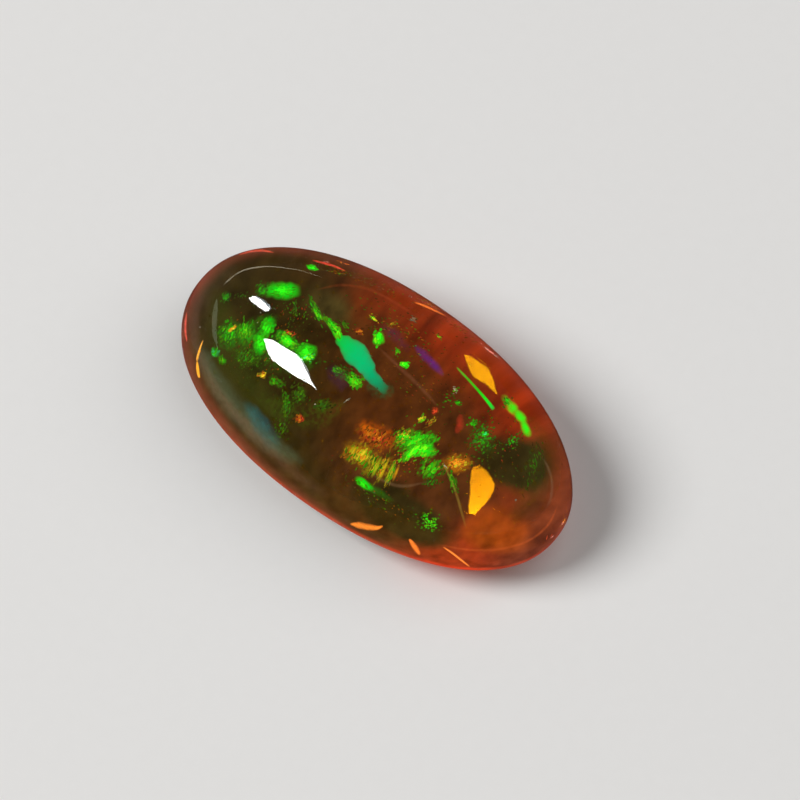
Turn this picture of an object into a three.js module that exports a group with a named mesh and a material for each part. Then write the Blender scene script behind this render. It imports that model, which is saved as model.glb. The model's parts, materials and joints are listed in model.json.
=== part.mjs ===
// An oval opal cabochon: one polished stone with a high dome, a rounded girdle where it is widest,
// and a shallow, rounded underside with a small flat ground in its middle, on which it rests.
// Millimetres, +Z up. The origin is at the middle of the flat, and the stone's length runs along X.
import * as THREE from "three";

// Driving dimensions
const LENGTH = 12.0;
const WIDTH = 6.4;
const HEIGHT = 4.5;
const GIRDLE_HEIGHT = 1.2; // the widest level, above the flat
const FLAT_SHARE = 0.3; // length of the flat as a share of the stone's, and the same for its width

// How full the curves are: 2 is an ellipse, and more than 2 has fuller shoulders
const OUTLINE_FULLNESS = 2.14;
const DOME_FULLNESS = 2.2;

// Fineness
const SEGMENTS_ROUND = 104;
const DOME_RINGS = 22;
const UNDERSIDE_RINGS = 9;

const HALF_LENGTH = LENGTH / 2;
const HALF_WIDTH = WIDTH / 2;
const DOME_HEIGHT = HEIGHT - GIRDLE_HEIGHT;
const FLAT_TURN = Math.asin(FLAT_SHARE);
const UNDERSIDE_DEPTH = GIRDLE_HEIGHT / Math.cos(FLAT_TURN); // of the whole curve, before the flat is ground

// A point of the underside, for a share from 0 at the edge of the flat to 1 at the girdle. Its reach is
// a share of the half length and half width at the girdle.
function undersidePoint(share) {
  const turn = FLAT_TURN + (Math.PI / 2 - FLAT_TURN) * share;
  return { reach: Math.sin(turn), height: GIRDLE_HEIGHT - UNDERSIDE_DEPTH * Math.cos(turn) };
}

// The same for a point of the dome, for a share from 0 at the girdle to 1 at the top.
function domePoint(share) {
  const turn = (Math.PI / 2) * share;
  const reach = Math.cos(turn) ** (2 / DOME_FULLNESS);
  return { reach, height: GIRDLE_HEIGHT + DOME_HEIGHT * Math.sin(turn) ** (2 / DOME_FULLNESS) };
}

// The stone's rings, from the middle of the flat to the top of the dome.
function stoneRings() {
  const rings = [{ reach: 0, height: 0 }];
  for (let i = 0; i <= UNDERSIDE_RINGS; i++) rings.push(undersidePoint(i / UNDERSIDE_RINGS));
  for (let i = 1; i < DOME_RINGS; i++) rings.push(domePoint(i / DOME_RINGS));
  rings.push({ reach: 0, height: HEIGHT });
  return rings;
}

// How far a full-shouldered oval of half length 1 and half width 1 reaches at an angle round it.
function ovalReach(angle) {
  const along = Math.abs(Math.cos(angle)) ** OUTLINE_FULLNESS;
  const across = Math.abs(Math.sin(angle)) ** OUTLINE_FULLNESS;
  return (along + across) ** (-1 / OUTLINE_FULLNESS);
}

// A round lathe of the rings, with each vertex then moved out to its ring's oval. LatheGeometry turns
// its profile about Y, one column of vertices after another, so the geometry is tipped up afterwards.
function cabochonGeometry() {
  const rings = stoneRings();
  const profile = rings.map((ring) => new THREE.Vector2(HALF_WIDTH * ring.reach, ring.height));
  const geometry = new THREE.LatheGeometry(profile, SEGMENTS_ROUND);
  const position = geometry.getAttribute("position");
  for (let i = 0; i < position.count; i++) {
    const ring = rings[i % rings.length];
    const column = Math.floor(i / rings.length) % SEGMENTS_ROUND; // the last one closes on the first
    const angle = (2 * Math.PI * column) / SEGMENTS_ROUND;
    const reach = ring.reach * ovalReach(angle);
    const x = HALF_LENGTH * reach * Math.sin(angle);
    const z = HALF_WIDTH * reach * Math.cos(angle);
    position.setXYZ(i, x, ring.height, z);
  }
  geometry.rotateX(Math.PI / 2);
  geometry.computeVertexNormals();
  return geometry;
}

const opalMaterial = new THREE.MeshStandardMaterial({
  color: 0x8a3312,
  roughness: 0.04,
  metalness: 0,
});

const opalCabochon = new THREE.Mesh(cabochonGeometry(), opalMaterial);
opalCabochon.name = "opal_cabochon";

const stone = new THREE.Group();
stone.add(opalCabochon);

export default stone;
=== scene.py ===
# %% [markdown]
# # A polished Mexican opal
#
# One clear orange-brown stone with patches of green, blue-green and orange fire floating in it. It was cut
# as a cabochon: a domed oval with a rounded girdle, a shallow rounded underside and a small flat to lie on.
# What the eye sees is mostly light that bends at the polish, gets redder the further it
# travels through the stone, and is thrown back by patches of tiny ordered spheres. So the lesson builds those
# three things: a surface that bends light well, a body that absorbs it, and patches that lie inside the body.
# Some light is painted as glow instead of traced: the light gathered at the underside, the red edge, the
# flashes and glints at the girdle and rim, and a few reflections inside the stone.

# %% Load the frame
import json
import math
import random

import bmesh
import bpy
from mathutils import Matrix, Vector, noise

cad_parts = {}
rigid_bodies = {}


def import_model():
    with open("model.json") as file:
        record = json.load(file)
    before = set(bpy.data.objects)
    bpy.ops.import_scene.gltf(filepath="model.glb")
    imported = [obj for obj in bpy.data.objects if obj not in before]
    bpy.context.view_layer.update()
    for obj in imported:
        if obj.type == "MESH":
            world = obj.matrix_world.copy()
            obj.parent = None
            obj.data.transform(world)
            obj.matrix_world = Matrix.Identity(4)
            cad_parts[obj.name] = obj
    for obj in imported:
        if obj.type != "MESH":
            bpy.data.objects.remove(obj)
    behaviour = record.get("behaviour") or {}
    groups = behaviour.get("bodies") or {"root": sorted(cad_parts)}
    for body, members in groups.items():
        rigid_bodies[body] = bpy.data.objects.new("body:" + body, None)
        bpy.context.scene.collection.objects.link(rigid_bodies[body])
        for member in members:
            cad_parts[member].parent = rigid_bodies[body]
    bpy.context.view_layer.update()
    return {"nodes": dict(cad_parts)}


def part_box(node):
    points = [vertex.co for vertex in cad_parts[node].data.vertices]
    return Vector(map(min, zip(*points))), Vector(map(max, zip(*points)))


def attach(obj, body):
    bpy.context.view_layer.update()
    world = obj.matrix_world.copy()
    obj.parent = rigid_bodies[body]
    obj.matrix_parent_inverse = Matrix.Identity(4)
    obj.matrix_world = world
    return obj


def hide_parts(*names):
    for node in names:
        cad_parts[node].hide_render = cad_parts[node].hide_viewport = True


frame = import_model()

MM = 0.001
STONE_NODE = "opal_cabochon"

# %% [markdown]
# ## The stone's measures
#
# The cutter's solid already has the right outline, so its measures are read from it: the box gives length,
# width and height, and the level of the outermost points is the girdle. How full the curves are is the one
# thing a box doesn't tell, and those exponents are the same as the solid's: 2 is an ellipse, and more than 2
# has fuller shoulders. So are the length and width of the flat, as shares of the stone's.

# %% Measures
low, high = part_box(STONE_NODE)
HALF_LENGTH = (high.x - low.x) / 2
HALF_WIDTH = (high.y - low.y) / 2
HEIGHT = high.z - low.z
widest = max(frame["nodes"][STONE_NODE].data.vertices, key=lambda v: v.co.x)
GIRDLE_HEIGHT = widest.co.z
DOME_HEIGHT = HEIGHT - GIRDLE_HEIGHT
FLAT_SHARE = 0.3
OUTLINE_FULLNESS = 2.14
DOME_FULLNESS = 2.2
print("girdle at", round(GIRDLE_HEIGHT / MM, 3), "mm of", round(HEIGHT / MM, 3))

# %% [markdown]
# ## The polished body
#
# A lapidary grinds the dome ring by ring, and the mesh is made the same way: a circle is laid on the flat,
# pushed out to the oval, and its edge is extruded upwards and resized for each ring, first out along the
# underside and then in over the dome. The rings are close together, because a clear stone shows every facet
# of its mesh twice, once at each surface. A sphere squashed to the same box would be quicker, but it has
# neither the fuller shoulders nor the flat.

# %% The rings of the body
COLUMNS = 288
UNDERSIDE_RINGS = 48
DOME_RINGS = 90
FLAT_TURN = math.asin(FLAT_SHARE)
UNDERSIDE_DEPTH = GIRDLE_HEIGHT / math.cos(FLAT_TURN)


def underside_ring(share):
    """Reach and height of a ring of the underside: share 0 is at the edge of the flat, 1 at the girdle."""
    turn = FLAT_TURN + (math.pi / 2 - FLAT_TURN) * share
    return math.sin(turn), GIRDLE_HEIGHT - UNDERSIDE_DEPTH * math.cos(turn)


def dome_ring(share):
    """The same for a ring of the dome: share 0 is at the girdle, 1 at the top."""
    turn = math.pi / 2 * share
    reach = math.cos(turn) ** (2 / DOME_FULLNESS)
    return reach, GIRDLE_HEIGHT + DOME_HEIGHT * math.sin(turn) ** (2 / DOME_FULLNESS)


rings = [underside_ring(i / UNDERSIDE_RINGS) for i in range(UNDERSIDE_RINGS + 1)]
rings += [dome_ring(i / DOME_RINGS) for i in range(1, DOME_RINGS)]
print(len(rings), "rings, the first one", round(2 * HALF_LENGTH * rings[0][0] / MM, 2), "mm long")

# %% The flat's outline
def deselect_all():
    """Operators act on all that is selected, so every step starts from nothing selected."""
    if bpy.context.object and bpy.context.object.mode != "OBJECT":
        bpy.ops.object.mode_set(mode="OBJECT")
    bpy.ops.object.select_all(action="DESELECT")


def oval_reach(angle):
    """How far a full-shouldered oval of half length 1 and half width 1 reaches at an angle round it."""
    along = abs(math.cos(angle)) ** OUTLINE_FULLNESS
    across = abs(math.sin(angle)) ** OUTLINE_FULLNESS
    return (along + across) ** (-1 / OUTLINE_FULLNESS)


deselect_all()
bpy.ops.mesh.primitive_circle_add(vertices=COLUMNS, radius=1, fill_type="NGON", location=(0, 0, 0))
stone = bpy.context.object
stone.name = "opal"
flat_reach = rings[0][0]
for vertex in stone.data.vertices:
    angle = math.atan2(vertex.co.y, vertex.co.x)
    reach = oval_reach(angle) * flat_reach
    vertex.co = (HALF_LENGTH * reach * math.cos(angle), HALF_WIDTH * reach * math.sin(angle), 0)
print("flat:", len(stone.data.vertices), "points round it")

# %% Ring by ring to the top
bpy.ops.object.mode_set(mode="EDIT")
bpy.ops.mesh.select_mode(type="EDGE")
bpy.ops.mesh.select_all(action="SELECT")
for before, after in zip(rings, rings[1:]):
    bpy.ops.mesh.extrude_edges_move(TRANSFORM_OT_translate={"value": (0, 0, after[1] - before[1])})
    growth = after[0] / before[0]
    bpy.ops.transform.resize(value=(growth, growth, 1), center_override=(0, 0, after[1]))
bpy.ops.mesh.extrude_edges_move(TRANSFORM_OT_translate={"value": (0, 0, HEIGHT - rings[-1][1])})
bpy.ops.mesh.merge(type="CENTER")
bpy.ops.mesh.select_all(action="SELECT")
bpy.ops.mesh.normals_make_consistent(inside=False)
bpy.ops.object.mode_set(mode="OBJECT")
print("body:", len(stone.data.vertices), "points,", len(stone.data.polygons), "faces")

# %% A crisp flat and a smooth dome
CRISP_FROM = math.radians(35)


def make_active(obj):
    """Selects one object alone, for an operator that works on the active one."""
    deselect_all()
    obj.select_set(True)
    bpy.context.view_layer.objects.active = obj


make_active(stone)
bpy.ops.object.shade_smooth_by_angle(angle=CRISP_FROM)
print("shading breaks at edges sharper than", round(math.degrees(CRISP_FROM)), "degrees")

# %% [markdown]
# ## A material, node by node
#
# A material in Blender is a net of nodes that pass numbers and colours on to a shader. By hand, each node is
# added, set and wired with the mouse. The lesson does the same with one short call for each kind of node, so
# that the recipe of a finish can be read line by line. A colour is given as red, green and blue.

# %% The net of a material
BLACK = (0, 0, 0)
WHITE = (1, 1, 1)


class Finish:
    """The nodes of one new material, its shader and its output."""

    def __init__(self, name):
        self.material = bpy.data.materials.new(name)
        self.material.use_nodes = True
        self.nodes = self.material.node_tree.nodes
        self.links = self.material.node_tree.links
        self.shader = self.nodes["Principled BSDF"]
        self.output = self.nodes["Material Output"]

    def feed(self, socket, value):
        """Wires a socket to another node's output, or sets it to a number or a colour."""
        if isinstance(value, bpy.types.NodeSocket):
            self.links.new(value, socket)
        elif socket.type == "RGBA":
            socket.default_value = (*value, 1)
        else:
            socket.default_value = value

    def add(self, kind, **inputs):
        """A new node, with its inputs fed by name."""
        node = self.nodes.new(kind)
        for name, value in inputs.items():
            self.feed(node.inputs[name.replace("_", " ")], value)
        return node

    def set_shader(self, **inputs):
        """Feeds inputs of the Principled shader by name."""
        for name, value in inputs.items():
            self.feed(self.shader.inputs[name.replace("_", " ")], value)

    def place(self):
        """Where a point lies on the piece, in the piece's own coordinates, so that nothing slides."""
        return self.add("ShaderNodeTexCoord").outputs["Object"]


opal = Finish("opal_body")
print(opal.material.name, "starts with", len(opal.nodes), "nodes: its shader and its output")

# %% [markdown]
# ## The opal's body colour
#
# Clear opal bends light a little less than window glass does, by an index of about 1.45, and takes a high
# polish. Its orange is not on the surface: blue light dies within a millimetre or two, green a little later,
# and red gets through. A volume absorption does exactly that, so thin edges glow and the middle is deep. A
# tinted glass surface would colour thin and thick parts alike. The absorption node takes a colour and a
# density: what the colour lacks is absorbed, so the colour is worked out backwards from what each of red,
# green and blue loses in a millimetre.

# %% Clear opal
OPAL_IOR = 1.45
ABSORBED_PER_MM = (0.09, 0.22, 0.62)

opal.material.cycles.emission_sampling = "NONE"
opal.set_shader(Base_Color=WHITE, IOR=OPAL_IOR, Transmission_Weight=1)
most = max(ABSORBED_PER_MM)
kept = tuple(1 - lost / most for lost in ABSORBED_PER_MM)
absorption = opal.add("ShaderNodeVolumeAbsorption", Color=kept, Density=most / MM)
opal.links.new(absorption.outputs["Volume"], opal.output.inputs["Volume"])
print("half of the blue is gone after", round(math.log(2) / ABSORBED_PER_MM[2], 2), "mm")

# %% [markdown]
# ## A shadow with some light in it
#
# A clear stone doesn't cast a black shadow, since part of the light goes through it to the paper. To trace
# that light through both bends takes very long. So for shadow rays alone, the stone is a thin grey film that
# lets some light straight through.

# %% What the shadow lets through
LIGHT_LET_THROUGH = (0.18, 0.18, 0.18)

film = opal.add("ShaderNodeBsdfTransparent", Color=LIGHT_LET_THROUGH)
choice = opal.add("ShaderNodeMixShader", Fac=opal.add("ShaderNodeLightPath").outputs["Is Shadow Ray"])
opal.links.new(opal.shader.outputs["BSDF"], choice.inputs[1])
opal.links.new(film.outputs["BSDF"], choice.inputs[2])
opal.links.new(choice.outputs["Shader"], opal.output.inputs["Surface"])
print("the shadow lets", round(100 * LIGHT_LET_THROUGH[0]), "% of the light through")

# %% [markdown]
# ## Clouds that the finishes share
#
# Nothing natural is the same all over, neither the stone's depth nor the paper under it. What makes them uneven
# is soft noise, each time with another scale, detail and strength. A thing that several materials use is best
# a node group: it is built once, has named inputs and an output, and is placed in each material like one node.
# Its noise is centred on 0, so that it makes a value uneven without making it larger.

# %% The clouds group
cloud_group = bpy.data.node_groups.new("clouds", "ShaderNodeTree")
for label, kind in (
    ("Place", "NodeSocketVector"),
    ("Scale", "NodeSocketFloat"),
    ("Detail", "NodeSocketFloat"),
    ("Share", "NodeSocketFloat"),
):
    cloud_group.interface.new_socket(name=label, in_out="INPUT", socket_type=kind)
cloud_group.interface.new_socket(name="Clouds", in_out="OUTPUT", socket_type="NodeSocketFloat")
given = cloud_group.nodes.new("NodeGroupInput").outputs
soft_noise = cloud_group.nodes.new("ShaderNodeTexNoise")
centred = cloud_group.nodes.new("ShaderNodeMath")
centred.operation = "SUBTRACT"
centred.inputs[1].default_value = 0.5
weighed = cloud_group.nodes.new("ShaderNodeMath")
weighed.operation = "MULTIPLY"
result = cloud_group.nodes.new("NodeGroupOutput").inputs
for source, target in (
    (given["Place"], soft_noise.inputs["Vector"]),
    (given["Scale"], soft_noise.inputs["Scale"]),
    (given["Detail"], soft_noise.inputs["Detail"]),
    (soft_noise.outputs["Fac"], centred.inputs[0]),
    (centred.outputs["Value"], weighed.inputs[0]),
    (given["Share"], weighed.inputs[1]),
    (weighed.outputs["Value"], result["Clouds"]),
):
    cloud_group.links.new(source, target)


def clouds(finish, place, scale, detail, share):
    """The group placed in a finish, with a scale in 1/m and a share that says how strong it is."""
    node = finish.add("ShaderNodeGroup")
    node.node_tree = cloud_group
    for label, value in (("Place", place), ("Scale", scale), ("Detail", detail), ("Share", share)):
        finish.feed(node.inputs[label], value)
    return node.outputs["Clouds"]


print(cloud_group.name, "has", len(cloud_group.nodes), "nodes inside")

# %% [markdown]
# ## The polish
#
# No polish is perfect. A felt wheel leaves hair-fine scratches that run one way, and a slight unevenness that
# makes a lamp's picture a little softer in one place than in another. Noise that is drawn out to hairs gives
# the scratches their roughness and a very shallow groove.

# %% Marks of polishing
HAIR_TURN = (0.3, 0.2, 0.6)
HAIR_STRETCH = (1, 34, 12)
HAIR_ROUGHNESS = 0.09
HAIR_DEPTH = 0.002 * MM


def maths(finish, operation, *values):
    """One sum. MULTIPLY_ADD is the first value times the second plus the third."""
    node = finish.add("ShaderNodeMath")
    node.operation = operation
    for socket, value in zip(node.inputs, values):
        finish.feed(socket, value)
    return node.outputs["Value"]


def ramp(finish, value, start, end, kind="SMOOTHSTEP"):
    """A share that is 0 where the value is at start and 1 where it is at end."""
    node = finish.add("ShaderNodeMapRange", Value=value, From_Min=start, From_Max=end)
    node.interpolation_type = kind
    return node.outputs["Result"]


place = opal.place()
drawn_out = opal.add("ShaderNodeMapping", Vector=place, Rotation=HAIR_TURN, Scale=HAIR_STRETCH)
hairs = opal.add("ShaderNodeTexNoise", Vector=drawn_out.outputs["Vector"], Scale=620, Detail=2)
scratches = ramp(opal, hairs.outputs["Fac"], start=0.69, end=0.75)
uneven = clouds(opal, place, scale=2400, detail=3, share=0.03)
rough = maths(opal, "MULTIPLY_ADD", scratches, HAIR_ROUGHNESS, uneven)
groove = opal.add("ShaderNodeBump", Strength=0.25, Distance=HAIR_DEPTH, Height=scratches)
groove.invert = True
opal.set_shader(Roughness=maths(opal, "MAXIMUM", rough, 0.0), Normal=groove.outputs["Normal"])
print("scratches are", round(HAIR_DEPTH / MM * 1000), "thousandths of a millimetre deep")

# %% [markdown]
# ## Light caught at the underside
#
# Light that enters the dome is gathered by the curved underside and the girdle, and the lowest layer of the
# stone glows with it: red along the far side and at the right end, warm brown under the middle, and hardly
# at all under the left field. Caustics of this kind take thousands of samples a pixel to trace. So the
# underside gets a weak glow of its own, drawn by where a point lies in the stone and never by where one
# looks from. Shares of 0 to 1 say how red or warm a place is, and noise makes their borders cloudy.

# %% Dim, warm and red glow
DIM_GLOW = (0.042, 0.045, 0.032)
WARM_GLOW = (0.125, 0.060, 0.060)
RED_GLOW = (0.42, 0.052, 0.030)
DIM_MIDDLE = (-0.9, 0.2)  # of the oval that the red glow leaves out, in mm
DIM_REACH = (4.9, 1.6)
WARM_SLANT = 0.9  # the warm glow's border runs askew: its level is x + 0.9 y
TIP_SLANT = 0.5


def fade(finish, level, start, end):
    """A ramp over a level along an axis, with its start and end in mm."""
    return ramp(finish, level, start * MM, end * MM)


def at_least(finish, share, least):
    """Lifts a share of 0 to 1 so that it starts at a least value."""
    return maths(finish, "MULTIPLY_ADD", share, 1 - least, least)


def mixed(finish, share, first, second, blend="MIX"):
    """A mix of two colours: the first at share 0, the second at share 1."""
    node = finish.add("ShaderNodeMix")
    node.data_type = "RGBA"
    node.blend_type = blend
    for socket, value in zip((node.inputs[0], *node.inputs[6:8]), (share, first, second)):
        finish.feed(socket, value)
    return node.outputs[2]


def oval_distance(finish, x, y, middle, reach):
    """1 on an oval of half length and half width reach, less inside it and more outside it."""
    along = maths(finish, "MULTIPLY_ADD", x, 1 / (reach[0] * MM), -middle[0] / reach[0])
    across = maths(finish, "MULTIPLY_ADD", y, 1 / (reach[1] * MM), -middle[1] / reach[1])
    squares = maths(finish, "MULTIPLY", along, along), maths(finish, "MULTIPLY", across, across)
    return maths(finish, "SQRT", maths(finish, "ADD", *squares))


parts = opal.add("ShaderNodeSeparateXYZ", Vector=place)
x, y, z = (parts.outputs[axis] for axis in "XYZ")
cloudy = clouds(opal, place, scale=900, detail=5, share=0.4)
outwards = maths(opal, "ADD", oval_distance(opal, x, y, DIM_MIDDLE, DIM_REACH), cloudy)
outside = ramp(opal, outwards, start=0.62, end=1.3, kind="SMOOTHERSTEP")
warm = fade(opal, maths(opal, "MULTIPLY_ADD", y, WARM_SLANT, x), start=-2.2, end=0.4)
warm = maths(opal, "MULTIPLY", warm, fade(opal, y, start=-1.3, end=-0.5))
far_side = fade(opal, y, start=-1.6, end=0.6)
right_end = fade(opal, x, start=1.6, end=3.6)
red = maths(opal, "MAXIMUM", far_side, right_end)
red = maths(opal, "MULTIPLY", red, fade(opal, x, start=-3.0, end=-1.0))
tip = fade(opal, maths(opal, "MULTIPLY_ADD", y, TIP_SLANT, x), start=4.5, end=3.4)
red = maths(opal, "MULTIPLY", red, at_least(opal, tip, least=0.25))
red = maths(opal, "MULTIPLY", outside, at_least(opal, red, least=0.08))
glow = mixed(opal, red, mixed(opal, warm, DIM_GLOW, WARM_GLOW), RED_GLOW)
print("the red glow is", round(RED_GLOW[0] / WARM_GLOW[0], 1), "times the warm one")

# %% Patches in the glow
AMBER_GLOW = (0.42, 0.10, 0.030)
MILKY_GLOW = (0.11, 0.13, 0.15)
PATCHES = [  # middle and reach in mm, oval distances where it starts and is full, colour
    ((3.85, -0.1), (0.72, 0.42), (1.25, 0.4), AMBER_GLOW),
    ((3.2, 0.95), (0.85, 0.4), (1.25, 0.7), DIM_GLOW),
    ((1.85, -0.68), (1.2, 0.4), (1.35, 0.8), DIM_GLOW),
    ((-2.5, 1.3), (0.55, 0.28), (1.4, 0.3), MILKY_GLOW),
]
DARKEST_CLOUD = 0.2

ragged = clouds(opal, place, scale=1500, detail=4, share=0.7)
for middle, reach, (start, full), colour in PATCHES:
    distance = maths(opal, "ADD", oval_distance(opal, x, y, middle, reach), ragged)
    glow = mixed(opal, ramp(opal, distance, start, full), glow, colour)
mottle = maths(opal, "ADD", clouds(opal, place, scale=2600, detail=6, share=2.2), 1.0)
glow = mixed(opal, 1.0, glow, maths(opal, "MAXIMUM", mottle, DARKEST_CLOUD), "MULTIPLY")
below_girdle = ramp(opal, z, start=GIRDLE_HEIGHT + 0.1 * MM, end=GIRDLE_HEIGHT - 0.45 * MM)
glow = mixed(opal, below_girdle, BLACK, glow)
print(len(PATCHES), "patches in the glow")

# %% [markdown]
# ## The red edge
#
# From any side the stone's outline is drawn by a thin red line, because there one looks along the polish at
# light that has travelled round inside the girdle. A Layer Weight node knows how slanted the surface is to
# the eye, as a glass finish may. The line is uneven, and weaker at the right end and on the far side.

# %% Edge light
EDGE_GLOW = (0.22, 0.036, 0.024)

slant = opal.add("ShaderNodeLayerWeight", Blend=0.5).outputs["Facing"]
line = ramp(opal, slant, start=0.52, end=0.8)
away_from_end = at_least(opal, fade(opal, x, start=4.8, end=2.2), least=0.25)
near_side = at_least(opal, fade(opal, y, start=2.6, end=-1.0), least=0.4)
weaker = maths(opal, "MULTIPLY", away_from_end, near_side)
uneven = maths(opal, "ADD", clouds(opal, place, scale=700, detail=4, share=2.0), 0.9)
line = maths(opal, "MULTIPLY", line, maths(opal, "MULTIPLY", weaker, uneven))
line = maths(opal, "MULTIPLY", line, opal.add("ShaderNodeLightPath").outputs["Is Camera Ray"])
glow = mixed(opal, 1.0, glow, mixed(opal, line, BLACK, EDGE_GLOW), "ADD")
opal.set_shader(Emission_Color=glow, Emission_Strength=1)

stone.data.materials.append(opal.material)
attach(stone, "root")
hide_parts(STONE_NODE)
print("the opal's material has", len(opal.nodes), "nodes")

# %% [markdown]
# ## The camera
#
# The stone lies askew in the picture and is seen from steeply above, with a long lens: its far end isn't
# smaller than its near end. The angle comes from fitting the stone's outline to the picture's. A direction
# towards the stone's surroundings is given by an azimuth, which goes round from the front, and an elevation
# above the floor. All pixels below are of a picture 800 pixels square.

# %% Camera
VIEW_AZIMUTH = 37.7
VIEW_ELEVATION = 65
VIEW_DISTANCE = 250 * MM
PIXELS_PER_METRE = 37700
IMAGE_SIDE = 800
AIM_HEIGHT = 2 * MM
AIM_PIXEL = (376.1, 400.2)
NEAREST_SEEN = 1 * MM


def facing(azimuth, elevation):
    """The direction towards an azimuth and elevation in degrees, and rightward and upward across it."""
    a, e = math.radians(azimuth), math.radians(elevation)
    away = Vector((math.sin(a) * math.cos(e), -math.cos(a) * math.cos(e), math.sin(e)))
    rightward = Vector((math.cos(a), math.sin(a), 0))
    return away, rightward, away.cross(rightward)


back, right, up = facing(VIEW_AZIMUTH, VIEW_ELEVATION)
sideways = (IMAGE_SIDE / 2 - AIM_PIXEL[0]) / PIXELS_PER_METRE
upwards = (AIM_PIXEL[1] - IMAGE_SIDE / 2) / PIXELS_PER_METRE
aim = Vector((0, 0, AIM_HEIGHT))
deselect_all()
bpy.ops.object.camera_add(location=aim + back * VIEW_DISTANCE + right * sideways + up * upwards)
camera = bpy.context.object
camera.rotation_euler = (-back).to_track_quat("-Z", "Y").to_euler()
camera.data.lens = camera.data.sensor_width * VIEW_DISTANCE * PIXELS_PER_METRE / IMAGE_SIDE
camera.data.clip_start = NEAREST_SEEN
bpy.context.scene.camera = camera
print("lens of", round(camera.data.lens, 1), "mm")

# %% [markdown]
# ## Where the fire lies
#
# A patch of fire is a small block of spheres in perfect order, somewhere under the polish. To put one where
# it is seen, a line of sight is followed to the dome, bent as the polish bends it, and followed on for a
# depth. The same helper works from any side, so a side that the main view hides gets its fire in the same way.

# %% Lines of sight
MAIN_VIEW = (camera.location.copy(), back, right, up)
JUST_INSIDE = 0.01 * MM
DEEPEST_SHARE = 0.8  # of the stone's thickness along the line


def side_view(azimuth, elevation):
    """A view of the stone's middle from another side, whose picture is as large as the main view's."""
    away, rightward, upward = facing(azimuth, elevation)
    return aim + away * VIEW_DISTANCE, away, rightward, upward


def bend(ray, normal, ratio):
    """The direction of a ray after it has gone through a surface, by the law of refraction."""
    cosine = -ray.dot(normal)
    spare = 1 - ratio**2 * (1 - cosine**2)
    return (ray * ratio + normal * (ratio * cosine - math.sqrt(spare))).normalized()


def line_of_sight(pixel, view=MAIN_VIEW):
    """Where the eye is, and the direction in which it looks through a pixel."""
    eye, away, rightward, upward = view
    across = (pixel[0] - IMAGE_SIDE / 2) / PIXELS_PER_METRE
    above = (IMAGE_SIDE / 2 - pixel[1]) / PIXELS_PER_METRE
    return eye, (rightward * across + upward * above - away * VIEW_DISTANCE).normalized()


def into_stone(pixel, depth, view=MAIN_VIEW):
    """The point a depth in metres inside the stone that shows at a pixel, and the bent line of sight there."""
    eye, ray = line_of_sight(pixel, view)
    hit, entry, normal, _ = stone.ray_cast(eye, ray)
    if not hit:
        return None, None
    inward = bend(ray, normal, 1 / OPAL_IOR)
    found, far, _, _ = stone.ray_cast(entry + inward * JUST_INSIDE, inward)
    room = (far - entry).length if found else 0
    return entry + inward * min(depth, DEEPEST_SHARE * room), inward


middle_spot, _ = into_stone((IMAGE_SIDE / 2, IMAGE_SIDE / 2), 1 * MM)
print("1 mm in at the picture's middle is", [round(v / MM, 2) for v in middle_spot], "mm")

# %% [markdown]
# ## The fire's two finishes
#
# Fire is light sent back, not paint, so both finishes glow by themselves and reflect nothing. Each grain or
# veil carries its colour in an attribute of its mesh, named fire. Grains are solid: small bright blocks with
# a hard edge. Veils are soft: thin sheets that fade out at their rims, by an attribute named veil, and are
# broken up by fine noise, by one named broken, as light is that comes from a region where the order of the
# spheres is poor. An attribute was chosen over one material a colour, because a field has a hundred colours.

# %% The grains' finish
# Besides the fire and the dust specks, this finish paints the glints at the girdle.
GRAIN_GLOW = 1.8


def only_shines(finish, strength):
    """Makes a finish that gives light and reflects none."""
    finish.material.cycles.emission_sampling = "NONE"
    finish.set_shader(Base_Color=BLACK, Specular_IOR_Level=0, Emission_Strength=strength)


def mesh_attribute(finish, name):
    """What a mesh says of each of its points under a name."""
    node = finish.add("ShaderNodeAttribute")
    node.attribute_name = name
    return node


def glowing_finish(name, strength):
    """A finish that shines in the colour of the mesh's own attribute."""
    finish = Finish(name)
    only_shines(finish, strength)
    finish.set_shader(Roughness=1, Emission_Color=mesh_attribute(finish, "fire").outputs["Color"])
    return finish


grain_material = glowing_finish("fire_and_painted_glint_grain", GRAIN_GLOW).material
print(grain_material.name, "shines with strength", GRAIN_GLOW)

# %% The veils' finish
# Besides the fire and the haze, this finish paints the flashes at the girdle and rim and a few reflections.
VEIL_GLOW = 1.5
SPECKS_PER_METRE = 9000

veil = glowing_finish("fire_and_painted_light_veil", VEIL_GLOW)
speckle = veil.add("ShaderNodeTexNoise", Vector=veil.place(), Scale=SPECKS_PER_METRE, Detail=3)
specks = ramp(veil, speckle.outputs["Fac"], start=0.42, end=0.6, kind="LINEAR")
broken_up = veil.add("ShaderNodeMix", Factor=mesh_attribute(veil, "broken").outputs["Fac"], A=1, B=specks)
alpha = maths(veil, "MULTIPLY", mesh_attribute(veil, "veil").outputs["Fac"], broken_up.outputs["Result"])
veil.set_shader(Alpha=alpha)
veil_material = veil.material
print(veil_material.name, "has specks of", round(1 / SPECKS_PER_METRE / MM, 2), "mm")

# %% [markdown]
# ## Grains
#
# One grain is modelled by hand from a small sphere: squashed flat, and roughened so that no two of its edges
# agree. Every grain of a field is a copy of it, turned to face its line of sight within a few degrees, drawn
# out along the field's own direction, and coloured by chance from the field's few colours. Most are dim and
# few are bright, which is what makes a field sparkle.
#
# Real fire is sent back in one direction only, so the rounded underside has no picture of it. Neither have
# these pieces: they are hidden from reflected rays.

# %% One grain
GRAIN_ROUGHNESS = 0.13
GRAIN_SEED = 4
GRAIN_THICKNESS = 0.3  # of its width

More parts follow.
